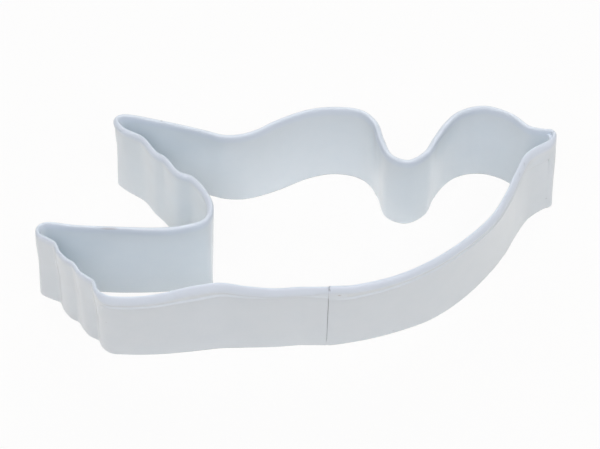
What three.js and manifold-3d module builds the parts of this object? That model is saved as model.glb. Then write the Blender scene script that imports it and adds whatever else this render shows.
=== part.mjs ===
// White coated cookie cutter in the shape of a flying dove.
// One tinplate strip is bent to the outline, hemmed outwards along its top edge and closed by a
// spot-welded lap on the belly. A white coating covers it outside and inside.
// Millimetres, +Z up, beak towards +X, cutting edge on Z = 0.

import * as THREE from 'three';
import { mergeVertices } from 'three/addons/utils/BufferGeometryUtils.js';
import Module from 'manifold-3d';

const wasm = await Module();
wasm.setup();

// Strip and hem
const STRIP_HEIGHT = 25; // cutting edge to the crest of the fold
const STRIP_THICKNESS = 0.3;
const HEM_HEIGHT = 3.4; // crest to the lip of the folded flap
const HEM_GAP = 0.65; // open space inside the fold, below the crest
const HEM_SLOPE = 0.7; // how far the fold falls for each millimetre that it runs outwards
const LIP_GAP = 0.1; // between the lip and the wall it is folded down to
const CREST_STEPS = 4; // facets round the fold

// Coating
const COAT_THICKNESS = 0.1;
const COAT_FIT = 0.06; // between the coating and the steel
const COAT_FILLET = 0.5; // height over which the coating runs out from the wall to the hem
const BARE_EDGE = 0.3; // cutting edge left bare below the coating

// Lapped seam on the belly
const SEAM_GAP = 0.4; // groove between the cut end and the hem that starts beyond it
const LAP_LENGTH = 6;
const LAP_GAP = 0.15; // between the two layers
const JOGGLE_LENGTH = 5; // run in which the strip steps in behind the cut end
const WELD_DIAMETER = 3;
const WELD_PITCH = 7; // the middle weld is at half height
const WELD_FIT = 0.04; // between a weld and the layers beside it
const WELD_FACETS = 20;

// Dove
const FIGURE_LENGTH = 111; // beak to tail along the inside of the rim
const STEPS = 3; // facets between two landmarks
const WING_PINCH = 0.4; // how far bending closes the fold there, from 0, open, to 1, flat
const TAIL_PINCH = 0.9;
const TIP_PINCH = 1; // the fold is squeezed flat in the sharp bends of beak and tail
const CUT_PINCH = 1; // the fold is hammered flat at the cut end

// The dove as drawn, on the inside of the wall, seen from above and run counter-clockwise from the
// seam: [x, y] at the rim, then how far the cutting edge below it stands from there.
const SEAM = [[6.5, -21.3, 0.0, 0.6]];
const BREAST = [
  [13.9, -20.2, -0.1, 0.8],
  [21.3, -18.0, -0.3, 0.7],
  [28.8, -14.1, -0.1, 0.2],
  [35.4, -9.2, 0.0, 0.0],
  [41.5, -3.0, 0.0, 0.0],
  [44.8, 2.9, 0.3, -0.2],
  [46.9, 8.0, 0.9, -0.5],
];
const BEAK = [
  [49.1, 12.6, 1.1, -0.9],
  [51.1, 14.5, 0.9, -1.2],
];
const BEAK_TIP = [
  [54.1, 16.3, 0.7, -1.6],
  [55.2, 17.2, 0.6, -2.0],
  [55.1, 18.3, 0.6, -2.8],
  [53.7, 18.6, 0.3, -2.0],
];
const HEAD = [
  [50.4, 19.6, -0.2, -1.0],
  [46.1, 22.7, -0.5, -0.7],
  [40.7, 24.3, -0.1, -0.8],
  [35.6, 23.3, 0.2, -0.6],
  [32.6, 20.5, 0.0, -0.2],
];
const NAPE = [
  [30.3, 16.7, -0.2, 0.0],
  [28.1, 12.7, 0.1, -0.1],
  [23.9, 10.2, 0.0, 0.0],
  [19.6, 12.1, -0.2, -0.2],
  [17.6, 16.7, 0.1, 0.0],
];
const BACK = [
  [16.2, 20.6, -0.5, -0.3],
  [13.5, 23.2, -0.5, -0.9],
  [8.0, 24.1, 0.0, -0.9],
  [2.3, 23.6, 0.4, -1.4],
  [-4.9, 20.4, 0.7, -1.4],
  [-8.4, 18.3, 0.4, -0.8],
  [-12.3, 16.4, 0.1, 0.0],
  [-16.6, 16.2, 0.0, 0.3],
];
const WING = [
  [-20.7, 17.5, 0.1, 0.1],
  [-30.2, 20.5, -0.2, -0.6],
  [-38.5, 22.3, 0.1, -0.7],
  [-39.4, 21.4, -0.6, -0.5],
  [-38.3, 19.4, -0.2, -0.3],
  [-34.0, 17.0, -0.3, -0.4],
  [-30.9, 13.1, -0.4, -0.4],
  [-28.9, 11.7, -0.6, -0.6],
  [-26.0, 8.1, -0.6, -0.6],
  [-23.0, 6.8, -0.3, -0.4],
  [-20.3, 3.7, -0.4, -0.3],
];
const FORK = [
  [-18.6, 0.5, -0.9, 0.0],
  [-18.3, -1.6, -0.9, 0.0],
  [-18.7, -3.8, -0.8, 0.1],
  [-20.3, -5.6, -0.4, 0.2],
  [-27.6, -7.6, 0.0, -0.1],
];
const TAIL_TOP = [
  [-40.9, -7.2, 0.0, -0.9],
];
const TAIL_TIP = [
  [-54.9, -5.9, -0.1, -0.5],
  [-55.8, -6.9, -0.2, -0.1],
  [-55.6, -8.0, -0.3, 0.0],
];
const TAIL_STEPS = [
  [-54.0, -8.9, -0.1, -0.2],
  [-52.0, -10.2, 0.1, 0.0],
  [-50.9, -12.4, 0.0, 0.0],
  [-49.5, -14.0, 0.0, -0.1],
  [-47.7, -15.2, 0.0, 0.0],
  [-46.4, -17.3, 0.0, 0.0],
  [-45.1, -18.3, -0.2, -0.3],
  [-43.3, -19.8, 0.1, 0.0],
  [-42.6, -21.8, 0.5, 0.1],
];
const BELLY = [
  [-41.1, -23.3, 0.5, 0.5],
  [-37.1, -23.8, 0.0, 0.6],
  [-30.6, -23.2, 0.0, 0.1],
  [-23.1, -21.2, 0.2, -1.0],
  [-16.8, -20.2, 0.0, -1.3],
  [-11.1, -21.0, 0.0, -0.2],
  [-5.1, -21.4, 0.0, 0.4],
];

// Places across the wall, counted outwards from the inside of the finished wall
const COAT_LAYER = COAT_THICKNESS + COAT_FIT;
const STEEL_IN = COAT_LAYER;
const STEEL_OUT = STEEL_IN + STRIP_THICKNESS;
const LIP_IN = STEEL_OUT + LIP_GAP;
const LIP_OUT = LIP_IN + STRIP_THICKNESS;
const LIP = STRIP_HEIGHT - HEM_HEIGHT;
const LAP_STEP = STRIP_THICKNESS + LAP_GAP; // how far the tongue stands in behind the cut end

/** The fold of the hem when pinched: its middle, the radii of its two sides, its foot and shoulder. */
function crest(pinch) {
  const gap = THREE.MathUtils.lerp(HEM_GAP, LIP_GAP, pinch);
  const radius = STRIP_THICKNESS + gap / 2;
  const foot = STRIP_HEIGHT - radius * (Math.hypot(1, HEM_SLOPE) - HEM_SLOPE);
  return {
    middle: STEEL_IN + radius,
    inner: gap / 2,
    outer: radius,
    foot,
    shoulder: foot - 2 * radius * HEM_SLOPE,
  };
}

const WALL_TOP = crest(0).shoulder; // top of the tongue, hidden behind the fold of the cut end

/** Points round a fold, highest beside the wall; a negative turn runs from the wall outwards. */
function crestArc({ middle, foot }, radius, turn) {
  const start = turn > 0 ? 0 : Math.PI;
  return Array.from({ length: CREST_STEPS + 1 }, (_, step) => {
    const angle = start + (turn * Math.PI * step) / CREST_STEPS;
    const outward = middle + radius * Math.cos(angle);
    const fall = HEM_SLOPE * Math.max(0, outward - STEEL_IN);
    return [outward, foot + radius * Math.sin(angle) - fall];
  });
}

/** Landmarks at the figure's length. */
function atLength(landmarks) {
  const across = [...BEAK_TIP, ...TAIL_TIP].map(([x]) => x);
  const scale = FIGURE_LENGTH / (Math.max(...across) - Math.min(...across));
  return landmarks.map((landmark) => landmark.map((value) => value * scale));
}

const [[SEAM_X, SEAM_Y, , SEAM_LEAN]] = atLength(SEAM);

/** Landmarks of a stretch of the figure, each with how far the hem is pinched there. */
function stretch(landmarks, pinch) {
  return atLength(landmarks).map((landmark) => [...landmark, pinch]);
}

/** Landmarks of the whole outline, from the hem's start past the seam round to the cut end. */
function outlineLandmarks() {
  return [
    [SEAM_X + SEAM_GAP, SEAM_Y, 0, SEAM_LEAN, 0],
    ...stretch([...BREAST, ...BEAK], 0),
    ...stretch(BEAK_TIP, TIP_PINCH),
    ...stretch([...HEAD, ...NAPE, ...BACK], 0),
    ...stretch(WING, WING_PINCH),
    ...stretch(FORK, 0),
    ...stretch(TAIL_TOP, TAIL_PINCH),
    ...stretch(TAIL_TIP, TIP_PINCH),
    ...stretch(TAIL_STEPS, TAIL_PINCH),
    ...stretch(BELLY, 0),
    [SEAM_X - LAP_LENGTH, SEAM_Y, 0, SEAM_LEAN, 0],
    [SEAM_X, SEAM_Y, 0, SEAM_LEAN, CUT_PINCH],
  ];
}

/** Closed smooth curve through plan points. */
function planCurve(points) {
  const vectors = points.map(([x, y]) => new THREE.Vector3(x, y, 0));
  return new THREE.CatmullRomCurve3(vectors, true, 'centripetal');
}

/** Stations along the strip from the hem's start to the cut end; the lap is one flat facet. */
function stripStations() {
  const landmarks = outlineLandmarks();
  const rim = planCurve(landmarks);
  const foot = planCurve(landmarks.map(([x, y, dx, dy]) => [x + dx, y + dy]));
  const count = landmarks.length;
  const lapIndex = count - 2;
  const places = Array.from({ length: lapIndex * STEPS }, (_, step) => step / STEPS);
  places.push(lapIndex, lapIndex + 1);
  const start = rim.getPoint(0);
  return places.map((place) => {
    const u = place / count;
    const rimPoint = rim.getPoint(u);
    const past = place < lapIndex ? rimPoint.distanceTo(start) / JOGGLE_LENGTH : 1;
    const [before, after] = [Math.floor(place), Math.ceil(place)].map((mark) => landmarks[mark][4]);
    return {
      rim: rimPoint,
      foot: foot.getPoint(u),
      rimTangent: rim.getTangent(u),
      footTangent: foot.getTangent(u),
      inset: LAP_STEP * (1 - THREE.MathUtils.smoothstep(past, 0, 1)),
      pinch: THREE.MathUtils.lerp(before, after, place % 1),
    };
  });
}

/** The same station, stepped in behind the cut end, where the strip is a plain tongue. */
function behind(station) {
  return { ...station, inset: LAP_STEP, pinch: 0, top: WALL_TOP };
}

/** Point at a distance outwards from the inside of the wall and at a height. */
function wallPoint(station, outward, height) {
  const rise = height / STRIP_HEIGHT;
  const point = station.foot.clone().lerp(station.rim, rise);
  const tangent = station.footTangent.clone().lerp(station.rimTangent, rise).normalize();
  point.x += tangent.y * (outward - station.inset);
  point.y -= tangent.x * (outward - station.inset);
  point.z = height;
  return point;
}

/** Closed body of a section, counter-clockwise [outward, height] points, swept along stations. */
function sweep(section, stations) {
  const positions = stations.flatMap((station) =>
    section(station).flatMap(([outward, height]) => wallPoint(station, outward, height).toArray()));
  const profile = section(stations[0]);
  const size = profile.length;
  const indices = [];
  for (let station = 0; station < stations.length - 1; station += 1) {
    for (let corner = 0; corner < size; corner += 1) {
      const next = (corner + 1) % size;
      const a = station * size + corner;
      const b = station * size + next;
      const rising = profile[next][1] >= profile[corner][1];
      if (rising) indices.push(a, a + size, b + size, a, b + size, b);
      else indices.push(a, a + size, b, a + size, b + size, b);
    }
  }
  const cap = THREE.ShapeUtils.triangulateShape(profile.map(([x, y]) => new THREE.Vector2(x, y)), []);
  const last = (stations.length - 1) * size;
  for (const [a, b, c] of cap) indices.push(a, b, c, last + a, last + c, last + b);
  const geometry = new THREE.BufferGeometry();
  geometry.setAttribute('position', new THREE.Float32BufferAttribute(positions, 3));
  geometry.setIndex(indices);
  return geometry;
}

/** Boolean join of two closed bodies. */
function join(first, second) {
  const solids = [first, second].map((geometry) => {
    const merged = mergeVertices(geometry);
    const vertProperties = new Float32Array(merged.attributes.position.array);
    const triVerts = new Uint32Array(merged.index.array);
    return new wasm.Manifold(new wasm.Mesh({ numProp: 3, vertProperties, triVerts }));
  });
  const mesh = solids[0].add(solids[1]).getMesh();
  const geometry = new THREE.BufferGeometry();
  geometry.setAttribute('position', new THREE.BufferAttribute(mesh.vertProperties, 3));
  geometry.setIndex(new THREE.BufferAttribute(mesh.triVerts, 1));
  return geometry;
}

/** Strip section: plain wall, fold over the crest and the flap down to its lip. */
function hemmedSection({ pinch }) {
  const fold = crest(pinch);
  return [
    [STEEL_IN, 0],
    [STEEL_OUT, 0],
    ...crestArc(fold, fold.inner, -1),
    [LIP_IN, LIP],
    [LIP_OUT, LIP],
    ...crestArc(fold, fold.outer, 1),
  ];
}

/** Tongue section: the plain wall with its hem notched away. */
function tongueSection() {
  return [[STEEL_IN, 0], [STEEL_OUT, 0], [STEEL_OUT, WALL_TOP], [STEEL_IN, WALL_TOP]];
}

/** Outer coating section: up the wall, out under the lip, over the crest to the inside. */
function outerCoatSection({ pinch }) {
  const fold = crest(pinch);
  const under = LIP - COAT_FIT;
  return [
    [STEEL_OUT + COAT_FIT, BARE_EDGE],
    [STEEL_OUT + COAT_LAYER, BARE_EDGE],
    [STEEL_OUT + COAT_LAYER, under - COAT_FILLET],
    [LIP_OUT + COAT_LAYER, under],
    ...crestArc(fold, fold.outer + COAT_LAYER, 1),
    ...crestArc(fold, fold.outer + COAT_FIT, 1).reverse(),
    [LIP_OUT + COAT_FIT, under],
    [STEEL_OUT + COAT_FIT, under - COAT_THICKNESS],
  ];
}

/** Inner coating section: a thin skin from above the cutting edge up to the rounding of the rim. */
function innerCoatSection({ pinch, top = crest(pinch).foot - COAT_FIT }) {
  return [[0, BARE_EDGE], [COAT_THICKNESS, BARE_EDGE], [COAT_THICKNESS, top], [0, top]];
}

/** Spot-weld nugget between the layers of the lap, counted in rows from half height. */
function weldNugget(name, row, material) {
  const radius = WELD_DIAMETER / 2;
  const geometry = new THREE.CylinderGeometry(radius, radius, LAP_GAP - 2 * WELD_FIT, WELD_FACETS);
  const nugget = new THREE.Mesh(geometry, material);
  const height = STRIP_HEIGHT / 2 + row * WELD_PITCH;
  const lean = SEAM_LEAN * (1 - height / STRIP_HEIGHT);
  nugget.name = name;
  nugget.position.set(SEAM_X - LAP_LENGTH / 2, SEAM_Y + lean - STEEL_IN + LAP_GAP / 2, height);
  nugget.rotation.x = Math.atan2(SEAM_LEAN, STRIP_HEIGHT);
  return nugget;
}

/** Named piece of the cutter. */
function piece(name, geometry, material) {
  const mesh = new THREE.Mesh(geometry, material);
  mesh.name = name;
  return mesh;
}

const tinplate = new THREE.MeshStandardMaterial({ color: 0xb4b7ba, roughness: 0.4, metalness: 0.9 });
const weldMetal = new THREE.MeshStandardMaterial({ color: 0x85888c, roughness: 0.55, metalness: 0.9 });
const enamel = new THREE.MeshStandardMaterial({ color: 0xe6eaf2, roughness: 0.35, metalness: 0 });

const stations = stripStations();
const [lapStart, cutEnd] = stations.slice(-2);
const tongue = [behind(lapStart), behind(cutEnd), ...stations.slice(0, 2)];
const strip = join(sweep(hemmedSection, stations), sweep(tongueSection, tongue));
const insideRun = [behind(lapStart), behind(cutEnd), ...stations.slice(0, -2)];

const cutter = new THREE.Group();
cutter.add(piece('steel_strip', strip, tinplate));
cutter.add(piece('outer_coat', sweep(outerCoatSection, stations), enamel));
cutter.add(piece('inner_coat', sweep(innerCoatSection, insideRun), enamel));
for (const [name, row] of [['seam_weld_bottom', -1], ['seam_weld_middle', 0], ['seam_weld_top', 1]]) {
  cutter.add(weldNugget(name, row, weldMetal));
}

// The origin is the middle of the footprint
const footprint = new THREE.Box3().setFromObject(cutter).getCenter(new THREE.Vector3());
cutter.position.set(-footprint.x, -footprint.y, 0);

export default cutter;
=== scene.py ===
"""White coated cookie cutter in the shape of a flying dove: fine meshes, finishes, stage and camera."""

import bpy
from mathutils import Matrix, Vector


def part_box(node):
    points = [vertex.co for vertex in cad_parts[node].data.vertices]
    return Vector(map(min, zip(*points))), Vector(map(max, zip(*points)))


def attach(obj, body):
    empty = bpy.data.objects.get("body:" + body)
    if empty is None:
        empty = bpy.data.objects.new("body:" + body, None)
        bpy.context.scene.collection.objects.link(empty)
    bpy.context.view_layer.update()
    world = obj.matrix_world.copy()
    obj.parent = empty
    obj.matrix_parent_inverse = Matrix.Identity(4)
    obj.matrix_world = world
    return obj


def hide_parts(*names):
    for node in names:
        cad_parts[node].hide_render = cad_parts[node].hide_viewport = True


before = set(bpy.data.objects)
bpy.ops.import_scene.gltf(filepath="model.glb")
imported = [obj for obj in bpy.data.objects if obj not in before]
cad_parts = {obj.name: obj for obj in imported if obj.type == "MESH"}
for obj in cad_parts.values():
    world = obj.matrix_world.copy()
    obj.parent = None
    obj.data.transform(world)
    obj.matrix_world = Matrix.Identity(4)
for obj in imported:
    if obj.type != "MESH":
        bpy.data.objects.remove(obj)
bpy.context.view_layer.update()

import logging
import math
from dataclasses import dataclass
from enum import Enum

import bpy
import numpy as np
from mathutils import Matrix, Vector

LOG = logging.getLogger("dove_cutter")
MM = 0.001
BODY = "root"

Mark = tuple[float, float, float, float]
Colour = tuple[float, float, float, float]


class Slot(Enum):
    """Material slots of the record."""

    ENAMEL = "white_enamel"
    TINPLATE = "tinplate"
    WELD = "weld"


@dataclass(frozen=True)
class StripSizes:
    """Sizes of the bent strip and of its coating, in millimetres."""

    height: float = 25.0
    thickness: float = 0.3
    hem_height: float = 3.4
    hem_gap: float = 0.65
    hem_ease: float = 3.0
    lip_gap: float = 0.1
    coat: float = 0.1
    coat_fit: float = 0.06
    bare_edge: float = 0.3
    seam_gap: float = 0.4
    lap_length: float = 6.0
    lap_gap: float = 0.15
    joggle_length: float = 5.0
    seam_slant: float = 0.35
    slant_fade: float = 2.0

    @property
    def coat_layer(self) -> float:
        """Coating with its fit."""
        return self.coat + self.coat_fit

    @property
    def steel_in(self) -> float:
        """Inner face of the steel, outwards from the inside of the finished wall."""
        return self.coat_layer

    @property
    def steel_out(self) -> float:
        """Outer face of the steel wall."""
        return self.steel_in + self.thickness

    @property
    def lip_in(self) -> float:
        """Inner face of the flap at its lip."""
        return self.steel_out + self.lip_gap

    @property
    def lip_out(self) -> float:
        """Outer face of the flap at its lip."""
        return self.lip_in + self.thickness

    @property
    def lip(self) -> float:
        """Height of the lip where the flap has its plain length."""
        return self.height - self.hem_height

    @property
    def lap_step(self) -> float:
        """How far the tongue stands in behind the cut end."""
        return self.thickness + self.lap_gap


@dataclass(frozen=True)
class Crest:
    """Fold of the hem at each station, highest beside the wall, in millimetres.

    Ease is how many times further than a round fold it reaches down into the wall inside.
    """

    slope: np.ndarray
    middle: np.ndarray
    inner: np.ndarray
    outer: np.ndarray
    foot: np.ndarray
    shoulder: np.ndarray
    ease: np.ndarray


@dataclass(frozen=True)
class Stations:
    """Places along the strip, one row each, in millimetres.

    Pinch is how far the fold is closed, smear how far the coating hides the lip and slope how steeply
    the hem falls outwards. Tongue is 1 where the strip runs plain behind the cut end, and fill is how
    far the coating stands in at the rim.
    """

    rim: np.ndarray
    foot: np.ndarray
    rim_heading: np.ndarray
    foot_heading: np.ndarray
    pinch: np.ndarray
    smear: np.ndarray
    slope: np.ndarray
    tongue: np.ndarray
    rim_inset: np.ndarray
    foot_inset: np.ndarray
    drop: np.ndarray
    fill: np.ndarray
    run: np.ndarray

    def part(self, rows: slice) -> "Stations":
        """Some of the stations, in the same order."""
        return Stations(**{name: values[rows] for name, values in vars(self).items()})

    def behind(self, step: float) -> "Stations":
        """The same places on the plain tongue, stepped in by a distance.

        Args:
            step: Distance inwards, in millimetres.

        Returns:
            The stations of the tongue.
        """
        count = len(self.run)
        values = dict(vars(self))
        values["rim_inset"] = np.full(count, step)
        values["foot_inset"] = np.full(count, step)
        values["pinch"] = np.zeros(count)
        values["tongue"] = np.ones(count)
        return Stations(**values)

    def then(self, other: "Stations") -> "Stations":
        """These stations followed by others."""
        pairs = zip(vars(self).items(), vars(other).values())
        return Stations(**{name: np.concatenate([first, second]) for (name, first), second in pairs})


class PlanCurve:
    """Closed centripetal curve through plan points."""

    def __init__(self, points: np.ndarray) -> None:
        """Keeps the points that the curve runs through."""
        self.points = points

    def at(self, places: np.ndarray) -> tuple[np.ndarray, np.ndarray]:
        """Points and headings along the curve.

        Args:
            places: Positions counted in landmarks.

        Returns:
            Plan points and unit headings, one row for each place.
        """
        span = np.floor(places).astype(int)
        share = (places - span)[:, None]
        before, start, end, after = (self.points[(span + k) % len(self.points)] for k in (-1, 0, 1, 2))
        leg_in, leg, leg_out = (self._leg(a, b) for a, b in ((before, start), (start, end), (end, after)))
        leave = leg * ((start - before) / leg_in - (end - before) / (leg_in + leg)) + end - start
        arrive = leg * ((after - end) / leg_out - (after - start) / (leg + leg_out)) + end - start
        square = 3 * (end - start) - 2 * leave - arrive
        cube = 2 * (start - end) + leave + arrive
        points = start + share * (leave + share * (square + share * cube))
        slopes = leave + share * (2 * square + 3 * share * cube)
        return points, slopes / np.linalg.norm(slopes, axis=1, keepdims=True)

    @staticmethod
    def _leg(start: np.ndarray, end: np.ndarray) -> np.ndarray:
        """Centripetal length of each leg."""
        return np.sqrt(np.linalg.norm(end - start, axis=1))[:, None]


def smooth_step(share: np.ndarray) -> np.ndarray:
    """Eases from 0 to 1 as the share does."""
    held = np.clip(share, 0.0, 1.0)
    return held * held * (3 - 2 * held)


@dataclass(frozen=True)
class Swell:
    """A stretch of the rim where a size grows and fades again, in millimetres."""

    x: float
    y: float
    amount: float
    reach: float


@dataclass(frozen=True)
class Dove:
    """Outline of the flying dove on the inside of the wall, in millimetres.

    It runs counter-clockwise from the seam. A mark is x and y at the rim, then how far the cutting
    edge below it stands from there.
    """

    seam: Mark = (6.5, -21.3, 0.0, 0.6)
    breast: tuple[Mark, ...] = (
        (13.9, -20.2, -0.1, 0.7),
        (21.3, -18.0, -0.3, 0.6),
        (28.8, -14.1, -0.1, -0.1),
        (35.4, -9.2, 0.0, -0.1),
        (41.5, -3.0, -0.1, 0.1),
        (44.8, 2.9, 0.5, -0.3),
        (46.9, 8.0, 0.9, -0.6),
    )
    beak: tuple[Mark, ...] = (
        (49.1, 12.6, 1.2, -1.2),
        (51.1, 14.5, 0.9, -1.4),
        (54.1, 16.3, 0.6, -1.4),
    )
    beak_tip: tuple[Mark, ...] = (
        (55.2, 17.2, 0.8, -1.8),
        (55.2, 18.4, 0.6, -2.8),
        (53.7, 18.6, 0.3, -2.0),
    )
    head: tuple[Mark, ...] = (
        (50.0, 19.1, 0.2, -0.5),
        (46.1, 22.3, -0.5, -0.3),
        (40.7, 24.2, -0.1, -0.7),
        (35.8, 22.9, 0.0, -0.2),
        (33.0, 20.1, -0.4, 0.2),
    )
    nape: tuple[Mark, ...] = (
        (30.7, 16.4, -0.6, 0.3),
        (28.4, 12.5, -0.2, 0.1),
        (23.9, 9.9, 0.0, 0.3),
        (19.3, 11.7, 0.1, 0.2),
        (17.1, 16.4, 0.6, 0.3),
    )
    back: tuple[Mark, ...] = (
        (15.9, 20.4, -0.2, -0.1),
        (13.4, 22.9, -0.4, -0.6),
        (8.0, 23.7, 0.0, -0.5),
        (2.3, 23.0, 0.4, -0.8),
        (-4.9, 20.0, 0.7, -1.0),
        (-8.4, 17.9, 0.4, -0.4),
        (-12.3, 16.5, 0.1, -0.1),
        (-16.6, 16.2, 0.0, 0.3),
    )
    wing: tuple[Mark, ...] = (
        (-20.7, 17.5, 0.1, 0.1),
        (-30.2, 20.0, -0.2, -0.1),
        (-38.7, 21.6, 0.3, 0.0),
        (-39.4, 21.1, -0.6, -0.3),
        (-38.3, 19.4, -0.2, -0.2),
        (-34.0, 17.0, -0.1, -0.8),
        (-30.9, 13.1, -0.6, -0.3),
        (-28.9, 11.7, -0.8, -0.8),
        (-26.0, 8.1, -0.6, -0.6),
        (-23.0, 6.8, -0.3, -0.4),
        (-20.3, 3.7, -0.4, -0.3),
    )
    fork: tuple[Mark, ...] = (
        (-18.6, 0.5, -0.5, 0.0),
        (-18.3, -1.6, -0.6, 0.0),
        (-18.7, -3.8, -0.2, -0.2),
        (-20.3, -5.6, 1.2, -0.6),
        (-27.6, -7.6, 0.0, -0.1),
    )
    tail_top: tuple[Mark, ...] = (
        (-40.9, -7.2, 0.0, -0.9),
        (-48.0, -6.9, -0.1, -0.5),
    )
    tail_tip: tuple[Mark, ...] = (
        (-54.6, -6.3, -0.4, -0.1),
        (-55.6, -7.0, -0.5, 0.0),
        (-55.6, -8.0, -0.6, -0.1),
    )
    tail_steps: tuple[Mark, ...] = (
        (-54.0, -8.9, -0.1, -0.4),
        (-52.0, -10.3, 0.1, -0.1),
        (-51.0, -12.5, 0.1, -0.1),
        (-49.6, -14.1, 0.1, -0.2),
        (-47.8, -15.4, 0.1, 0.0),
        (-46.5, -17.5, 0.1, 0.0),
        (-45.2, -18.5, -0.1, -0.3),
        (-43.4, -19.9, 0.2, -0.1),
        (-42.7, -21.9, 0.5, 0.0),
    )
    belly: tuple[Mark, ...] = (
        (-41.1, -23.5, 0.4, 0.5),
        (-37.1, -24.0, 0.0, 0.7),
        (-30.6, -23.4, 0.0, 0.2),
        (-23.1, -21.4, 0.2, -1.0),
        (-16.8, -20.4, 0.0, -1.2),
        (-11.1, -21.2, 0.0, -0.2),
        (-5.1, -21.7, 0.0, 0.5),
    )
    belly_slope: float = 1.0
    breast_slope: float = 0.6
    far_slope: float = 0.3
    tail_slope: float = 0.0
    belly_pinch: float = 0.15
    wing_pinch: float = 0.4
    tail_pinch: float = 0.9
    tip_pinch: float = 1.0
    cut_pinch: float = 0.9
    start_pinch: float = 0.4
    start_shift: float = -0.1
    beak_smear: float = 0.3
    tip_smear: float = 11.0
    wing_smear: float = 5.0
    fork_smear: float = 3.0
    tail_smear: float = 6.0
    long_flaps: tuple[Swell, ...] = (
        Swell(6.9, -21.3, 0.9, 12.0),
        Swell(52.5, 15.3, 2.1, 6.0),
        Swell(-22.5, -21.0, 0.6, 5.0),
        Swell(-1.0, -21.3, -1.1, 10.0),
    )
    filled_corners: tuple[Swell, ...] = (
        Swell(55.3, 17.8, 0.8, 1.0),
    )
    least_steps: int = 4

    def outline(self, sizes: StripSizes) -> tuple[np.ndarray, np.ndarray]:
        """Landmarks from the hem's start past the seam round to the cut end.

        Args:
            sizes: Sizes of the strip.

        Returns:
            Rows of marks, and at each how far the hem is pinched, its lip smeared over and its slope.
        """
        x, y, _, lean = self.seam
        near, far, belly, tail = self.breast_slope, self.far_slope, self.belly_slope, self.tail_slope
        start = (x + sizes.seam_gap, y + self.start_shift, 0.0, lean - self.start_shift)
        stretches = [
            ((start,), (self.start_pinch, 0.0, near)),
            (self.breast, (0.0, 0.0, near)),
            (self.beak, (0.0, self.beak_smear, near)),
            (self.beak_tip, (self.tip_pinch, self.tip_smear, far)),
            (self.head + self.nape + self.back, (0.0, 0.0, far)),
            (self.wing, (self.wing_pinch, self.wing_smear, far)),
            (self.fork, (0.0, self.fork_smear, far)),
            (self.tail_top, (self.tail_pinch, self.tail_smear, far)),
            (self.tail_tip, (self.tip_pinch, self.tail_smear, tail)),
            (self.tail_steps, (self.tail_pinch, self.tail_smear, tail)),
            (self.belly + ((x - sizes.lap_length, y, 0.0, lean),), (self.belly_pinch, 0.0, belly)),
            (((x, y, 0.0, lean),), (self.cut_pinch, 0.0, belly)),
        ]
        marks = np.array([mark for stretch, _ in stretches for mark in stretch])
        hem = np.array([shape for stretch, shape in stretches for _ in stretch])
        return marks, hem

    def stations(self, sizes: StripSizes, spacing: float) -> tuple[Stations, int]:
        """Stations from the hem's start round to the cut end.

        Args:
            sizes: Sizes of the strip.
            spacing: Distance aimed at between two stations, in millimetres.

        Returns:
            The stations, and the number of the one where the lap starts.
        """
        marks, hem = self.outline(sizes)
        lap_mark = len(marks) - 2
        legs = np.linalg.norm(np.diff(marks[:, :2], axis=0), axis=1)
        steps = np.maximum(self.least_steps, np.ceil(legs / spacing)).astype(int)
        places = [mark + np.arange(count) / count for mark, count in enumerate(steps)]
        places = np.concatenate(places + [np.array([lap_mark + 1.0])])
        rim, rim_heading = PlanCurve(marks[:, :2]).at(places)
        foot, foot_heading = PlanCurve(marks[:, :2] + marks[:, 2:]).at(places)
        lap_start = int(steps[:lap_mark].sum())
        for points, headings in ((rim, rim_heading), (foot, foot_heading)):
            share = (places[lap_start:] - lap_mark)[:, None]
            points[lap_start:] = points[lap_start] + share * (points[-1] - points[lap_start])
            headings[lap_start:] = (1.0, 0.0)
        from_start = np.linalg.norm(rim - rim[0], axis=1)
        from_start[lap_start:] = sizes.joggle_length
        squared = (1 - smooth_step(from_start / sizes.slant_fade))[:, None]
        for headings in (rim_heading, foot_heading):
            headings += squared * (np.array((1.0, 0.0)) - headings)
            headings /= np.linalg.norm(headings, axis=1, keepdims=True)
        run = np.concatenate([[0.0], np.cumsum(np.linalg.norm(np.diff(rim, axis=0), axis=1))])
        before = np.floor(places).astype(int)
        after = np.ceil(places).astype(int)
        ease = smooth_step(places - before)[:, None]
        pinch, smear, slope = (hem[before] + ease * (hem[after] - hem[before])).T
        stations = Stations(
            rim=rim,
            foot=foot,
            rim_heading=rim_heading,
            foot_heading=foot_heading,
            pinch=pinch,
            smear=smear,
            slope=slope,
            tongue=np.zeros(len(places)),
            rim_inset=sizes.lap_step * (1 - smooth_step(from_start / sizes.joggle_length)),
            foot_inset=np.zeros(len(places)),
            drop=self.grown(self.long_flaps, rim, run),
            fill=self.grown(self.filled_corners, rim, run),
            run=run,
        )
        return stations, lap_start

    @staticmethod
    def grown(swells: tuple[Swell, ...], rim: np.ndarray, run: np.ndarray) -> np.ndarray:
        """Sum of some swells at each station.

        Args:
            swells: The stretches.
            rim: Plan points of the rim.
            run: Length along the rim from the hem's start.

        Returns:
            The amount at each station, in millimetres.
        """
        amount = np.zeros(len(run))
        for swell in swells:
            middle = run[np.argmin(np.linalg.norm(rim - (swell.x, swell.y), axis=1))]
            amount += swell.amount * np.exp(-(((run - middle) / swell.reach) ** 2))
        return amount


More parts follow.
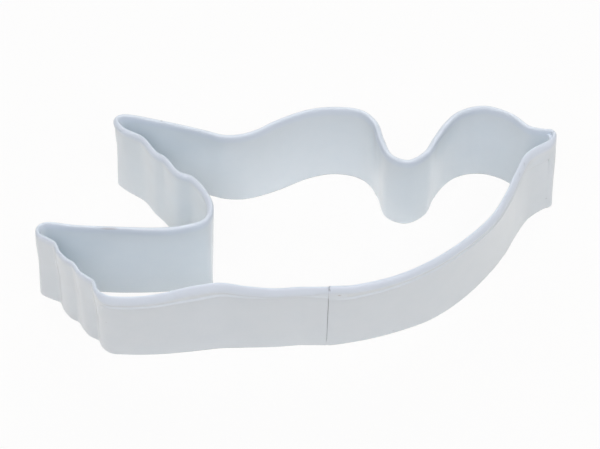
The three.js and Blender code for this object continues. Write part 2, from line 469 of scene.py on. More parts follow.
class Term:
    """A shader socket that takes part in Python expressions."""

    def __init__(self, graph: "Graph", socket: bpy.types.NodeSocket) -> None:
        """Keeps the socket and the graph that new nodes go into."""
        self.graph = graph
        self.socket = socket

    def _math(self, operation: str, first: "Term | float", second: "Term | float") -> "Term":
        """Adds one Math node for two operands."""
        return self.graph.value("ShaderNodeMath", {"operation": operation}, {0: first, 1: second})

    def __add__(self, other: "Term | float") -> "Term":
        """Sum."""
        return self._math("ADD", self, other)

    def __radd__(self, other: float) -> "Term":
        """Sum with a number on the left."""
        return self._math("ADD", other, self)

    def __mul__(self, other: "Term | float") -> "Term":
        """Product."""
        return self._math("MULTIPLY", self, other)

    def __rmul__(self, other: float) -> "Term":
        """Product with a number on the left."""
        return self._math("MULTIPLY", other, self)

    def highest(self, other: "Term | float") -> "Term":
        """The larger of two values."""
        return self._math("MAXIMUM", self, other)

    def ease(self, low: float, high: float) -> "Term":
        """Eases from 0 at one value to 1 at another.

        Args:
            low: Value that gives 0.
            high: Value that gives 1.

        Returns:
            The eased share.
        """
        settings = {"interpolation_type": "SMOOTHSTEP"}
        limits = {"Value": self, "From Min": low, "From Max": high, "To Min": 0.0, "To Max": 1.0}
        return self.graph.value("ShaderNodeMapRange", settings, limits)


class Graph:
    """Node tree of a material or of the world, with one way to add nodes."""

    def __init__(self, tree: bpy.types.NodeTree) -> None:
        """Empties the tree."""
        self.tree = tree
        tree.nodes.clear()

    def node(self, kind: str, settings: dict | None = None, inputs: dict | None = None) -> bpy.types.Node:
        """Adds a node.

        Args:
            kind: Type name of the node.
            settings: Attributes that are set before the sockets are filled.
            inputs: Values, terms or sockets by input name or number.

        Returns:
            The new node.
        """
        node = self.tree.nodes.new(kind)
        for name, setting in (settings or {}).items():
            setattr(node, name, setting)
        for key, value in (inputs or {}).items():
            source = value.socket if isinstance(value, Term) else value
            if isinstance(source, bpy.types.NodeSocket):
                self.tree.links.new(source, node.inputs[key])
            else:
                node.inputs[key].default_value = source
        return node

    def value(self, kind: str, settings: dict, inputs: dict, output: str | int = 0) -> Term:
        """Adds a node and returns one of its outputs as a term."""
        return Term(self, self.node(kind, settings, inputs).outputs[output])

    def place(self) -> bpy.types.NodeSocket:
        """Object coordinates, in metres."""
        return self.node("ShaderNodeTexCoord").outputs["Object"]

    def height(self) -> Term:
        """Height over the cutting edge, in metres."""
        return self.value("ShaderNodeSeparateXYZ", {}, {"Vector": self.place()}, "Z")

    def noise(self, grain: float, detail: float = 2.0, stretch: tuple = (1.0, 1.0, 1.0)) -> Term:
        """Noise over the object.

        Args:
            grain: Size of the pattern, in metres.
            detail: Octaves of finer noise.
            stretch: Factors on the coordinates before the noise is read.

        Returns:
            Noise values from 0 to 1.
        """
        place = self.node("ShaderNodeMapping", {}, {"Vector": self.place(), "Scale": stretch})
        inputs = {"Vector": place.outputs[0], "Scale": 1.0 / grain, "Detail": detail}
        return self.value("ShaderNodeTexNoise", {}, inputs)

    def nearness(self, place: tuple[float, float, float], reach: tuple[float, float, float]) -> Term:
        """How near the surface is to a place.

        Args:
            place: Middle of an ellipsoid, in millimetres.
            reach: Half its size along each axis, in millimetres.

        Returns:
            1 in its middle, easing to 0 at its edge.
        """
        moved = self.node("ShaderNodeVectorMath", {"operation": "SUBTRACT"},
                          {0: self.place(), 1: [value * MM for value in place]})
        scaled = self.node("ShaderNodeVectorMath", {"operation": "DIVIDE"},
                           {0: moved.outputs[0], 1: [value * MM for value in reach]})
        apart = self.value("ShaderNodeVectorMath", {"operation": "LENGTH"}, {0: scaled.outputs[0]}, "Value")
        return apart.ease(1.0, 0.2)

    def blend(self, share: Term | float, first: "Colour | Term", second: "Colour | Term") -> Term:
        """Mixes two colours."""
        return self.value("ShaderNodeMix", {"data_type": "RGBA"}, {0: share, 6: first, 7: second}, 2)

    def bump(self, height: Term, depth: float, strength: float = 1.0) -> Term:
        """Normal of a bumped surface.

        Args:
            height: Height from 0 to 1.
            depth: What a height of 1 stands for, in metres.
            strength: Share of the effect.

        Returns:
            The normal.
        """
        return self.value("ShaderNodeBump", {}, {"Height": height, "Distance": depth, "Strength": strength})


@dataclass(frozen=True)
class Finish:
    """A surface finish, made from nodes."""

    name: str
    slot: Slot

    def material(self) -> bpy.types.Material:
        """Makes the material.

        Returns:
            The new material.
        """
        material = bpy.data.materials.new(self.name)
        material.use_nodes = True
        graph = Graph(material.node_tree)
        shader = self.shader(graph)
        graph.node("ShaderNodeOutputMaterial", {}, {"Surface": shader.outputs[0]})
        return material

    def shader(self, graph: Graph) -> bpy.types.Node:
        """Adds the finish's own nodes and returns its shader."""
        raise NotImplementedError


@dataclass(frozen=True)
class MarkAndShade:
    """A small spot on the coating, in millimetres from the frame's origin: a real mark, or painted shade
    where a recess lies.
    """

    place: tuple[float, float, float]
    reach: tuple[float, float, float]
    colour: Colour
    share: float


SCUFF: Colour = (0.42, 0.33, 0.29, 1.0)
# Dark grey of small specks, and of painted shade in the seam notch and the beak tip's pin-hole.
SPECK_AND_SHADE: Colour = (0.3, 0.31, 0.34, 1.0)


@dataclass(frozen=True)
class Enamel(Finish):
    """Baked white coating with a slight orange peel and a few marks, with painted shade in a seam notch and
    a beak pin-hole, and a painted bluish tint of light from above along the rim.
    """

    name: str = "white_enamel"
    slot: Slot = Slot.ENAMEL
    white: Colour = (0.868, 0.936, 0.975, 1.0)
    thin: Colour = (0.856, 0.928, 0.97, 1.0)
    # Painted tint of bluish light from above, laid on the top of the wall between the two heights below.
    rim: Colour = (0.838, 0.914, 0.985, 1.0)
    sky_tint_from: float = 0.0228
    sky_tint_full: float = 0.0243
    mottle: float = 0.004
    peel: float = 0.0009
    peel_depth: float = 0.000012
    gloss: float = 0.3
    gloss_change: float = 0.08
    clear_coat: float = 0.5
    clear_gloss: float = 0.12
    marks_and_shade: tuple[MarkAndShade, ...] = (
        MarkAndShade((9.06, -22.3, 22.7), (0.55, 0.5, 0.4), SCUFF, 0.45),
        # Painted shade in the notch where the hem starts at the seam.
        MarkAndShade((7.0, -22.2, 24.6), (0.3, 0.4, 0.5), SPECK_AND_SHADE, 0.4),
        MarkAndShade((21.1, -18.3, 1.3), (0.35, 0.4, 0.3), SPECK_AND_SHADE, 0.35),
        MarkAndShade((-47.1, -17.3, 17.5), (0.3, 0.4, 0.35), SPECK_AND_SHADE, 0.35),
        MarkAndShade((-41.1, -23.8, 13.7), (0.35, 0.4, 0.3), SPECK_AND_SHADE, 0.35),
        MarkAndShade((55.4, 14.3, 3.9), (0.35, 0.4, 0.35), SPECK_AND_SHADE, 0.35),
        MarkAndShade((-40.5, -7.2, 25.0), (2.8, 0.5, 0.35), SCUFF, 0.4),
        MarkAndShade((-29.9, 20.7, 25.1), (0.4, 0.4, 0.3), SPECK_AND_SHADE, 0.4),
        # Painted shade of the pin-hole in the folded beak tip.
        MarkAndShade((55.9, 18.2, 24.9), (0.28, 0.28, 0.5), SPECK_AND_SHADE, 0.9),
        MarkAndShade((48.2, 7.6, 24.6), (0.25, 0.9, 0.4), SPECK_AND_SHADE, 0.3),
        MarkAndShade((49.3, 10.0, 24.8), (0.2, 0.7, 0.4), SPECK_AND_SHADE, 0.25),
    )

    def shader(self, graph: Graph) -> bpy.types.Node:
        """White with faint mottling, a slight orange peel and a clear gloss, a painted bluish tint of light
        from above near the rim, and marks with spots of painted shade.

        Args:
            graph: The material's node tree.

        Returns:
            The coating's shader.
        """
        mottle = graph.noise(self.mottle, 3.0)
        peel = graph.noise(self.peel, 1.0)
        colour = graph.blend(mottle.ease(0.35, 0.7), self.white, self.thin)
        # Painted skylight: the top of the wall turns bluer, as light from above would tint it.
        colour = graph.blend(graph.height().ease(self.sky_tint_from, self.sky_tint_full), colour, self.rim)
        for spot in self.marks_and_shade:
            mask = spot.share * graph.nearness(spot.place, spot.reach)
            colour = graph.blend(mask, colour, spot.colour)
        inputs = {
            "Base Color": colour,
            "Roughness": self.gloss + self.gloss_change * mottle,
            "Coat Weight": self.clear_coat,
            "Coat Roughness": self.clear_gloss,
            "Normal": graph.bump(peel, self.peel_depth),
        }
        return graph.node("ShaderNodeBsdfPrincipled", {}, inputs)


@dataclass(frozen=True)
class Tinplate(Finish):
    """Bright tinned steel with fine rolling lines, dulled in places."""

    name: str = "tinplate"
    slot: Slot = Slot.TINPLATE
    bright: Colour = (0.45, 0.455, 0.465, 1.0)
    dull: Colour = (0.26, 0.26, 0.265, 1.0)
    line: float = 0.0008
    line_depth: float = 0.000006
    along: tuple[float, float, float] = (0.1, 0.1, 4.0)
    patch: float = 0.004
    gloss: float = 0.3
    gloss_change: float = 0.25

    def shader(self, graph: Graph) -> bpy.types.Node:
        """Metal with lines along the strip and duller patches.

        Args:
            graph: The material's node tree.

        Returns:
            The steel's shader.
        """
        lines = graph.noise(self.line, 2.0, self.along)
        patches = graph.noise(self.patch, 3.0)
        inputs = {
            "Base Color": graph.blend(patches.ease(0.4, 0.7), self.bright, self.dull),
            "Metallic": 1.0,
            "Roughness": self.gloss + self.gloss_change * patches,
            "Normal": graph.bump(lines, self.line_depth),
        }
        return graph.node("ShaderNodeBsdfPrincipled", {}, inputs)


@dataclass(frozen=True)
class WeldMetal(Finish):
    """Dull grey nugget of a spot weld, browner where it was hottest."""

    name: str = "weld"
    slot: Slot = Slot.WELD
    grey: Colour = (0.28, 0.285, 0.3, 1.0)
    tinted: Colour = (0.25, 0.2, 0.15, 1.0)
    heat: float = 0.002
    grain: float = 0.0004
    grain_depth: float = 0.00002
    gloss: float = 0.45
    gloss_change: float = 0.2

    def shader(self, graph: Graph) -> bpy.types.Node:
        """Rough metal with a heat tint.

        Args:
            graph: The material's node tree.

        Returns:
            The nugget's shader.
        """
        tint = graph.noise(self.heat, 3.0)
        inputs = {
            "Base Color": graph.blend(tint.ease(0.4, 0.7), self.grey, self.tinted),
            "Metallic": 1.0,
            "Roughness": self.gloss + self.gloss_change * tint,
            "Normal": graph.bump(graph.noise(self.grain, 2.0), self.grain_depth),
        }
        return graph.node("ShaderNodeBsdfPrincipled", {}, inputs)


def select_only(piece: bpy.types.Object) -> None:
    """Selects one object and makes it the active one.

    Args:
        piece: The object.
    """
    bpy.ops.object.select_all(action="DESELECT")
    piece.select_set(True)
    bpy.context.view_layer.objects.active = piece


@dataclass
class SweptPiece:
    """A closed piece whose section follows the strip, in millimetres."""

    sizes: StripSizes
    dove: Dove
    origin: np.ndarray
    finish: Finish
    name: str = "piece"
    node: str = "node"
    spacing: float = 0.4
    levels: int = 8
    smooth_angle: float = math.radians(40)

    def crest(self, stations: Stations) -> Crest:
        """The fold at each station.

        Args:
            stations: Places along the strip.

        Returns:
            The fold's shape there.
        """
        slope = stations.slope
        gap = self.sizes.hem_gap + stations.pinch * (self.sizes.lip_gap - self.sizes.hem_gap)
        radius = self.sizes.thickness + gap / 2
        foot = self.sizes.height - radius * (np.hypot(1.0, slope) - slope)
        ease = 1 + (self.sizes.hem_ease - 1) * (1 - np.minimum(stations.fill, 1.0))
        middle = self.sizes.steel_in + radius
        return Crest(slope, middle, gap / 2, radius, foot, foot - 2 * radius * slope, ease)

    def wall(self, outward: float, low: float, high: np.ndarray | float) -> list[tuple]:
        """Corners between two heights on one face of the wall, without the two ends."""
        shares = np.arange(1, self.levels) / self.levels
        return [(outward, low + share * (high - low)) for share in shares]

    def arc(self, crest: Crest, radius: np.ndarray, start: np.ndarray | float, turn: np.ndarray | float,
            steps: int) -> list[tuple]:
        """Corners round a fold, which falls as it runs outwards and eases into the wall inside.

        Args:
            crest: The fold.
            radius: Radius at each station.
            start: Angle of the first corner, from the outward direction.
            turn: Angle that the arc runs through.
            steps: Number of facets.

        Returns:
            The arc's corners, outward and height.
        """
        peak = crest.foot + radius * np.hypot(1.0, crest.slope) - crest.slope * crest.outer
        peak_angle = math.pi - np.arctan2(1.0, crest.slope)
        corners = []
        for step in range(steps + 1):
            angle = start + turn * (step / steps)
            outward = crest.middle + radius * np.cos(angle)
            height = crest.foot + radius * np.sin(angle) - crest.slope * (outward - self.sizes.steel_in)
            eased = peak - crest.ease * (peak - height)
            corners.append((outward, np.where(angle > peak_angle, eased, height)))
        return corners

    def inner_end(self, crest: Crest, radius: np.ndarray) -> np.ndarray:
        """Height at which a fold of some radius meets the inside wall."""
        return self.arc(crest, radius, math.pi, 0.0, 1)[0][1]

    def tongue_top(self, crest: Crest) -> np.ndarray:
        """Height of the steel tongue, whose coating ends just below the rounding of the rim."""
        layer = self.sizes.coat_layer
        return self.inner_end(crest, crest.outer + layer) - 2 * layer

    def loft(self, stations: Stations, corners: list[tuple]) -> np.ndarray:
        """Points of a section along stations.

        Args:
            stations: Places along the strip.
            corners: Outward and height of each corner, a number or one for each station.

        Returns:
            Points in millimetres, counted by station, corner and axis.
        """
        count = len(stations.run)
        outward = np.stack([np.broadcast_to(corner[0], count) for corner in corners], axis=1)
        height = np.stack([np.broadcast_to(corner[1], count) for corner in corners], axis=1)
        rise = (height / self.sizes.height)[..., None]
        plan = stations.foot[:, None] + rise * (stations.rim - stations.foot)[:, None]
        turned = stations.rim_heading - stations.foot_heading
        heading = stations.foot_heading[:, None] + rise * turned[:, None]
        heading /= np.linalg.norm(heading, axis=2, keepdims=True)
        drawn_in = stations.rim_inset - stations.foot_inset
        inset = stations.foot_inset[:, None] + rise[..., 0] * drawn_in[:, None]
        reach = (outward - inset)[..., None]
        plan += reach * np.stack([heading[..., 1], -heading[..., 0]], axis=2)
        return np.concatenate([plan, height[..., None]], axis=2)

    def slant_ends(self, stations: Stations, points: np.ndarray) -> None:
        """Slants the two ends that meet at the seam, so that they stand further back at the foot.

        Args:
            stations: Places along the strip.
            points: Lofted points, which are moved.
        """
        low = 1 - points[..., 2] / self.sizes.height
        from_start = stations.run / self.sizes.slant_fade
        to_end = (stations.run[-1] - stations.run) / self.sizes.slant_fade
        near = 1 - smooth_step(np.minimum(from_start, to_end))
        shift = self.sizes.seam_slant * low * near[:, None]
        points[..., :2] -= shift[..., None] * stations.rim_heading[:, None]

    def skin(self, name: str, points: np.ndarray) -> bpy.types.Object:
        """Wraps a grid over lofted points and closes it to a solid.

        Args:
            name: Name of the object.
            points: Points in millimetres, counted by station, corner and axis.

        Returns:
            The closed piece, at the origin.
        """
        rows, columns = points.shape[:2]
        bpy.ops.object.select_all(action="DESELECT")
        bpy.ops.mesh.primitive_grid_add(x_subdivisions=columns, y_subdivisions=rows - 1, size=1.0)
        piece = bpy.context.active_object
        piece.name = name
        piece.data.name = name
        flat = np.empty(3 * len(piece.data.vertices), dtype=np.float32)
        piece.data.vertices.foreach_get("co", flat)
        grid = flat.reshape(-1, 3) + 0.5
        column = np.rint(grid[:, 0] * columns).astype(int) % columns
        row = np.rint(grid[:, 1] * (rows - 1)).astype(int)
        placed = (points[row, column] + self.origin) * MM
        piece.data.vertices.foreach_set("co", placed.astype(np.float32).ravel())
        bpy.ops.object.mode_set(mode="EDIT")
        bpy.ops.mesh.select_all(action="SELECT")
        bpy.ops.mesh.remove_doubles(threshold=1e-7)
        bpy.ops.mesh.fill_holes(sides=0)
        bpy.ops.mesh.select_all(action="SELECT")
        bpy.ops.mesh.normals_make_consistent(inside=False)
        bpy.ops.object.mode_set(mode="OBJECT")
        return piece

    def dress(self, piece: bpy.types.Object) -> bpy.types.Object:
        """Shades the piece, gives it its finish and sets it in the frame.

        Args:
            piece: The finished mesh.

        Returns:
            The same object.
        """
        select_only(piece)
        bpy.ops.object.shade_smooth_by_angle(angle=self.smooth_angle)
        piece.data.materials.clear()
        piece.data.materials.append(self.finish.material())
        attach(piece, BODY)
        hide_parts(self.node)
        LOG.info("%s: %d faces", piece.name, len(piece.data.polygons))
        return piece


@dataclass
class SteelStrip(SweptPiece):
    """Hemmed tinplate strip with the tongue that runs behind its cut end."""

    name: str = "bent_strip"
    node: str = "steel_strip"
    levels: int = 4
    fold_steps: int = 8

    def build(self) -> bpy.types.Object:
        """Makes the strip and joins its tongue on.

        Returns:
            The strip.
        """
        stations, lap_start = self.dove.stations(self.sizes, self.spacing)
        points = self.loft(stations, self.hemmed(stations))
        self.slant_ends(stations, points)
        strip = self.skin(self.name, points)
        lap = stations.part(slice(lap_start, None)).behind(self.sizes.lap_step)
        root = lap.then(stations.part(slice(0, self.dove.least_steps)))
        tongue = self.skin("tongue", self.loft(root, self.plain(root)))
        self.join(strip, tongue)
        return self.dress(strip)

    def hemmed(self, stations: Stations) -> list[tuple]:
        """Corners of the wall, the fold over the crest and the flap.

        Args:
            stations: Places along the strip.

        Returns:
            Outward and height of each corner, in order.
        """
        sizes = self.sizes
        crest = self.crest(stations)
        lip = sizes.lip - stations.drop
        return [
            (sizes.steel_in, 0.0),
            (sizes.steel_out, 0.0),
            *self.wall(sizes.steel_out, 0.0, crest.foot),
            *self.arc(crest, crest.inner, math.pi, -math.pi, self.fold_steps),
            (sizes.lip_in, lip),
            (sizes.lip_out, lip),
            *self.arc(crest, crest.outer, 0.0, math.pi, self.fold_steps),
            *self.wall(sizes.steel_in, crest.foot, 0.0),
        ]

    def plain(self, stations: Stations) -> list[tuple]:
        """Corners of the tongue, whose hem is notched away.

        Args:
            stations: Places along the strip.

        Returns:
            Outward and height of each corner, in order.
        """
        sizes = self.sizes
        top = self.tongue_top(self.crest(stations))
        return [
            (sizes.steel_in, 0.0),
            (sizes.steel_out, 0.0),
            *self.wall(sizes.steel_out, 0.0, top),
            (sizes.steel_out, top),
            (sizes.steel_in, top),
            *self.wall(sizes.steel_in, top, 0.0),
        ]

    @staticmethod
    def join(strip: bpy.types.Object, tongue: bpy.types.Object) -> None:
        """Unites the tongue with the strip and removes it.

        Args:
            strip: The hemmed strip, which is changed.
            tongue: The plain tongue.
        """
        select_only(strip)
        union = strip.modifiers.new("tongue", "BOOLEAN")
        union.operation = "UNION"
        union.solver = "EXACT"
        union.object = tongue
        bpy.ops.object.modifier_apply(modifier=union.name)
        select_only(tongue)
        bpy.ops.object.delete()


@dataclass
class OuterCoat(SweptPiece):
    """Coating up the outside wall, out under the lip and over the crest."""

    name: str = "outer_enamel"
    node: str = "outer_coat"
    spacing: float = 0.32
    levels: int = 16
    edge_round: float = 0.05
    cove: float = 0.15
    cove_steps: int = 4
    lip_round: float = 0.08
    lip_steps: int = 4
    lip_flare: float = 0.3
    flare_height: float = 0.6
    crest_steps: int = 16
    seat_steps: int = 6
    soft_lip: float = 1.6
    start_gap: float = 0.12
    filled_gap: float = 0.012
    filled_foot: float = 1.6
    filled_hem: float = 3.3
    start_fade: float = 2.0
    start_proud: float = 0.1
    notch: float = 0.6
    notch_share: float = 0.4

    def build(self) -> bpy.types.Object:
        """Makes the coating of the outside.

        Returns:
            The coating.
        """
        stations, _ = self.dove.stations(self.sizes, self.spacing)
        points = self.loft(stations, self.section(stations))
        self.lean_start(stations, points)
        self.slant_ends(stations, points)
        return self.dress(self.skin(self.name, points))

    def section(self, stations: Stations) -> list[tuple]:
        """Corners of the coating, from the cutting edge up over the crest and back along the steel.

        Args:
            stations: Places along the strip.

        Returns:
            Outward and height of each corner, in order.
        """
        sizes = self.sizes
        crest = self.crest(stations)
        under = sizes.lip - stations.drop - sizes.coat_fit
        face = sizes.steel_out + sizes.coat_layer
        back = sizes.steel_out + sizes.coat_fit
        lip_face = sizes.lip_out + sizes.coat_layer
        low = sizes.bare_edge + self.edge_round
        tilt = np.arctan2(crest.middle + crest.outer + sizes.coat_layer - lip_face, crest.shoulder - under)
        flare = self.lip_flare * (1 - np.minimum(stations.smear, 1.0))
        edge = self.lip(face, lip_face + flare, under, stations.smear)
        return [
            (back, sizes.bare_edge),
            (face - self.edge_round, sizes.bare_edge),
            (face, low),
            *self.wall(face, low, edge[0][1]),
            *edge,
            (lip_face, under + self.flare_height),
            *self.arc(crest, crest.outer + sizes.coat_layer, -tilt, math.pi + tilt, self.crest_steps),
            *self.arc(crest, crest.outer + sizes.coat_fit, math.pi, -math.pi, self.seat_steps),
            (sizes.lip_out + sizes.coat_fit, under),
            (back, under - sizes.coat),
        ]

    def lip(self, face: float, lip_face: np.ndarray, under: np.ndarray, smear: np.ndarray) -> list[tuple]:
        """Corners of the cove under the lip and of the lip's rounded edge.

        Args:
            face: Outer face of the coated wall.
            lip_face: Outer face of the coated flap at each station.
            under: Height of the lip's underside at each station.
            smear: How far the lip runs out softly into the wall, above 1 over a longer stretch.

        Returns:
            The corners, outward and height.
        """
        reach = lip_face - self.lip_round - face
        crisp = []
        for step in range(self.cove_steps + 1):
            angle = math.pi / 2 * step / self.cove_steps
            crisp.append((face + reach * (1 - math.cos(angle)), -self.cove * (1 - math.sin(angle))))
        for step in range(1, self.lip_steps + 1):
            angle = math.pi / 2 * step / self.lip_steps
            out = lip_face - self.lip_round * (1 - math.sin(angle))
            crisp.append((out, self.lip_round * (1 - math.cos(angle))))
        soft_length = self.soft_lip * np.maximum(smear, 1.0)
        blend = np.minimum(smear, 1.0)
        corners = []
        for step, (out, rise) in enumerate(crisp):
            share = step / (len(crisp) - 1)
            soft_out = face + (lip_face - face) * share * share * (3 - 2 * share)
            soft_rise = soft_length * (share - 1) + self.lip_round
            corners.append((out + blend * (soft_out - out), under + rise + blend * (soft_rise - rise)))
        return corners

    def lean_start(self, stations: Stations, points: np.ndarray) -> None:
        """Draws the start of the coating back to the cut end, but for a notch at the crest.

        The coating fills the crack in the hem and at the foot, and leaves a fine line between them.

        Args:
            stations: Places along the strip.
            points: Lofted points, which are moved.
        """
        below = self.sizes.height - points[..., 2]
        in_foot = 1 - smooth_step(points[..., 2] - self.filled_foot)
        in_hem = 1 - smooth_step(below - self.filled_hem)
        gap = self.start_gap + np.maximum(in_foot, in_hem) * (self.filled_gap - self.start_gap)
        near = (1 - smooth_step(stations.run / self.start_fade))[:, None]
        closed = 1 - self.notch_share * (1 - smooth_step(below / self.notch))
        shift = (self.sizes.seam_gap - gap) * closed * near
        points[..., :2] -= shift[..., None] * stations.rim_heading[:, None]
        proud = self.start_proud * in_hem * smooth_step(below - self.notch) * near
        outward = np.stack([stations.rim_heading[:, 1], -stations.rim_heading[:, 0]], axis=1)
        points[..., :2] += proud[..., None] * outward[:, None]


@dataclass
class InnerCoat(SweptPiece):
    """Coating of the inside wall and of the tongue."""

    name: str = "inner_enamel"
    node: str = "inner_coat"
    levels: int = 8
    edge_round: float = 0.05
    top_gap: float = 0.002
    fill_height: float = 12.0
    fill_rise: float = 0.2

    def build(self) -> bpy.types.Object:
        """Makes the coating of the inside.

        Returns:
            The coating.
        """
        stations, lap_start = self.dove.stations(self.sizes, self.spacing)
        lap = stations.part(slice(lap_start, None)).behind(self.sizes.lap_step)
        around = stations.part(slice(0, lap_start))
        run = lap.then(around)
        points = self.loft(run, self.section(run))
        return self.dress(self.skin(self.name, points))

    def section(self, stations: Stations) -> list[tuple]:
        """Corners of a thin skin from above the cutting edge to the rim, capping the tongue.

        Args:
            stations: Places along the strip.

        Returns:
            Outward and height of each corner, in order.
        """
        sizes = self.sizes
        crest = self.crest(stations)
        skin_top = self.inner_end(crest, crest.outer + sizes.coat_layer) - self.top_gap
        seat_top = np.minimum(skin_top, self.inner_end(crest, crest.outer + sizes.coat_fit) - self.top_gap)
        cap_top = self.tongue_top(crest) + sizes.coat_layer
        skin_top = skin_top + stations.tongue * (cap_top - skin_top)
        seat_top = seat_top + stations.tongue * (cap_top - sizes.coat - seat_top)
        cap_out = sizes.coat + stations.tongue * (sizes.steel_out - sizes.coat)
        low = sizes.bare_edge + self.edge_round
        return [
            (self.edge_round, sizes.bare_edge),
            (sizes.coat, sizes.bare_edge),
            *self.wall(sizes.coat, sizes.bare_edge, seat_top),
            (sizes.coat, seat_top),
            (cap_out, seat_top),
            (cap_out, seat_top + stations.tongue * sizes.coat),
            (0.0, skin_top),
            (-stations.fill, skin_top + self.fill_rise * stations.fill),
            *self.filled(stations.fill, skin_top, low),
            (0.0, low),
        ]

    def filled(self, fill: np.ndarray, top: np.ndarray, low: float) -> list[tuple]:
        """Corners down the inside face, which stands in at the rim where a corner is filled.

        Args:
            fill: How far the face stands in at each station.
            top: Height of the skin's upper edge.
            low: Height of its lower edge.

        Returns:
            Outward and height of each corner, in order.
        """
        corners = []
        for _, height in self.wall(0.0, top, low):
            corners.append((-fill * smooth_step(1 - (top - height) / self.fill_height), height))
        return corners


@dataclass
class SeamWelds:
    """Spot-weld nuggets between the two layers of the lap."""

    finish: Finish
    nodes: tuple[str, ...] = ("seam_weld_bottom", "seam_weld_middle", "seam_weld_top")

    def dress(self) -> None:
        """Gives each nugget the weld's finish."""
        material = self.finish.material()
        for node in self.nodes:
            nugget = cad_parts[node]
            nugget.data.materials.clear()
            nugget.data.materials.append(material)
            LOG.info("%s: dressed", node)


@dataclass(frozen=True)
class Softbox:
    """A rectangular lamp, in metres, aimed at the cutter."""

    name: str
    place: tuple[float, float, float]
    size: tuple[float, float]
    power: float
    colour: tuple[float, float, float]

    def build(self, target: Vector) -> None:
        """Sets the lamp up.

        Args:
            target: Point that the lamp is aimed at.
        """
        bpy.ops.object.light_add(type="AREA", location=self.place)
        lamp = bpy.context.active_object
        lamp.name = self.name
        lamp.data.shape = "RECTANGLE"
        lamp.data.size, lamp.data.size_y = self.size
        lamp.data.energy = self.power
        lamp.data.color = self.colour
        lamp.rotation_mode = "QUATERNION"
        lamp.rotation_quaternion = (target - Vector(self.place)).to_track_quat("-Z", "Y")


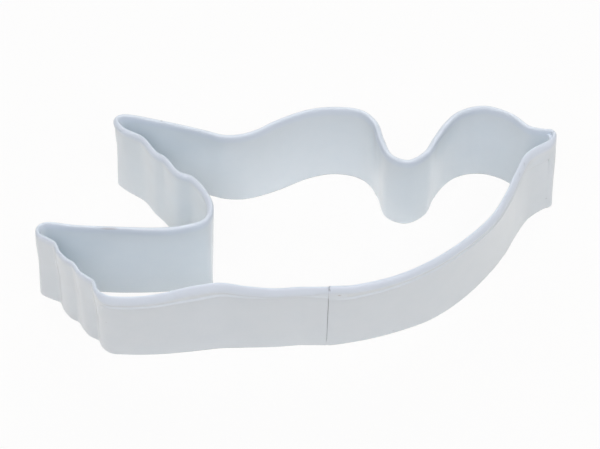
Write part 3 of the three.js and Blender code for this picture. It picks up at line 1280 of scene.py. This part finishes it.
@dataclass(frozen=True)
class Studio:
    """Pale floor, soft surrounding light and softboxes."""

    floor_width: float = 8.0
    floor_colour: Colour = (0.99, 0.955, 0.885, 1.0)
    floor_white: float = 0.93
    around: Colour = (1.0, 1.0, 1.0, 1.0)
    around_strength: float = 0.08
    target: tuple[float, float, float] = (0.0, 0.0, 0.0125)
    lamps: tuple[Softbox, ...] = (
        Softbox("key_softbox", (0.0, -0.55, 1.15), (1.2, 0.6), 7.0, (0.94, 0.915, 1.0)),
        Softbox("low_front_softbox", (0.0, -1.1, 0.64), (1.2, 0.6), 0.86, (0.98, 0.985, 1.0)),
        Softbox("back_softbox", (0.0, 0.9, 0.9), (1.2, 0.6), 2.3, (0.98, 0.985, 1.0)),
        Softbox("low_back_softbox", (0.0, 1.15, 0.55), (1.6, 0.5), 5.0, (0.98, 0.985, 1.0)),
        Softbox("left_softbox", (-0.9, -0.2, 0.9), (1.0, 1.0), 1.7, (0.98, 0.985, 1.0)),
        Softbox("right_softbox", (0.9, -0.2, 0.9), (1.0, 1.0), 2.5, (0.98, 0.985, 1.0)),
    )

    def build(self) -> None:
        """Makes the floor, the world and the lamps."""
        self.floor()
        self.world()
        for lamp in self.lamps:
            lamp.build(Vector(self.target))

    @staticmethod
    def seen(graph: Graph) -> Term:
        """1 for rays of the camera, of gloss and of clear matter, otherwise 0.

        Args:
            graph: Node tree of the floor or of the world.

        Returns:
            The share.
        """
        rays = graph.node("ShaderNodeLightPath").outputs
        seen = Term(graph, rays["Is Camera Ray"])
        for name in ("Is Glossy Ray", "Is Transmission Ray"):
            seen = seen.highest(Term(graph, rays[name]))
        return seen

    def floor(self) -> None:
        """A wide pale floor that looks nearly white and keeps the shadow."""
        bpy.ops.object.select_all(action="DESELECT")
        bpy.ops.mesh.primitive_plane_add(size=self.floor_width)
        floor = bpy.context.active_object
        floor.name = "floor"
        material = bpy.data.materials.new("floor")
        material.use_nodes = True
        graph = Graph(material.node_tree)
        matt = graph.node("ShaderNodeBsdfDiffuse", {}, {"Color": self.floor_colour})
        glow = graph.node("ShaderNodeEmission", {}, {"Color": (1.0, 1.0, 1.0, 1.0), "Strength": 1.0})
        inputs = {0: self.seen(graph) * self.floor_white, 1: matt.outputs[0], 2: glow.outputs[0]}
        mixed = graph.node("ShaderNodeMixShader", {}, inputs)
        graph.node("ShaderNodeOutputMaterial", {}, {"Surface": mixed.outputs[0]})
        floor.data.materials.append(material)

    def world(self) -> None:
        """Soft light from all round, seen as white."""
        world = bpy.data.worlds.new("studio")
        bpy.context.scene.world = world
        world.use_nodes = True
        graph = Graph(world.node_tree)
        inputs = {"Color": self.around, "Strength": self.around_strength}
        light = graph.node("ShaderNodeBackground", {}, inputs)
        white = graph.node("ShaderNodeBackground", {}, {"Color": (1.0, 1.0, 1.0, 1.0), "Strength": 1.0})
        inputs = {0: self.seen(graph), 1: light.outputs[0], 2: white.outputs[0]}
        mixed = graph.node("ShaderNodeMixShader", {}, inputs)
        graph.node("ShaderNodeOutputWorld", {}, {"Surface": mixed.outputs[0]})


@dataclass(frozen=True)
class PhotoCamera:
    """Camera at the photograph's place, looking down along +Y."""

    focal_length: float = 240.0
    sensor_width: float = 36.0
    looks_down: float = math.radians(58)
    roll: float = math.radians(0.285)
    place: tuple[float, float, float] = (0.000536, -0.462946, 0.7564)

    def build(self) -> None:
        """Makes the scene's camera."""
        bpy.ops.object.camera_add()
        camera = bpy.context.active_object
        camera.name = "photo_camera"
        camera.data.lens = self.focal_length
        camera.data.sensor_width = self.sensor_width
        pitch = Matrix.Rotation(math.pi / 2 - self.looks_down, 4, "X")
        turn = Matrix.Rotation(self.roll, 4, "Z")
        camera.matrix_world = Matrix.Translation(self.place) @ pitch @ turn
        bpy.context.scene.camera = camera


def seam_origin(sizes: StripSizes, dove: Dove) -> np.ndarray:
    """Where the outline's zero stands in the frame, found from the middle weld of the lap.

    Args:
        sizes: Sizes of the strip.
        dove: Outline of the figure.

    Returns:
        Offset from outline coordinates to the frame, in millimetres.
    """
    low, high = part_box("seam_weld_middle")
    middle = (np.array(low) + np.array(high)) / 2 / MM
    x, y, _, lean = dove.seam
    weld_x = x - sizes.lap_length / 2
    weld_y = y + lean / 2 - sizes.steel_in + sizes.lap_gap / 2
    return np.array([middle[0] - weld_x, middle[1] - weld_y, 0.0])


def main() -> None:
    """Builds the cutter, its stage and its camera."""
    logging.basicConfig(level=logging.INFO, format="%(name)s: %(message)s")
    bpy.context.scene.view_settings.view_transform = "Standard"
    PhotoCamera().build()
    sizes = StripSizes()
    dove = Dove()
    origin = seam_origin(sizes, dove)
    LOG.info("outline offset: %s mm", np.round(origin, 4))
    enamel = Enamel()
    SteelStrip(sizes, dove, origin, Tinplate()).build()
    OuterCoat(sizes, dove, origin, enamel).build()
    InnerCoat(sizes, dove, origin, enamel).build()
    SeamWelds(WeldMetal()).dress()
    Studio().build()


if __name__ == "__main__":
    main()
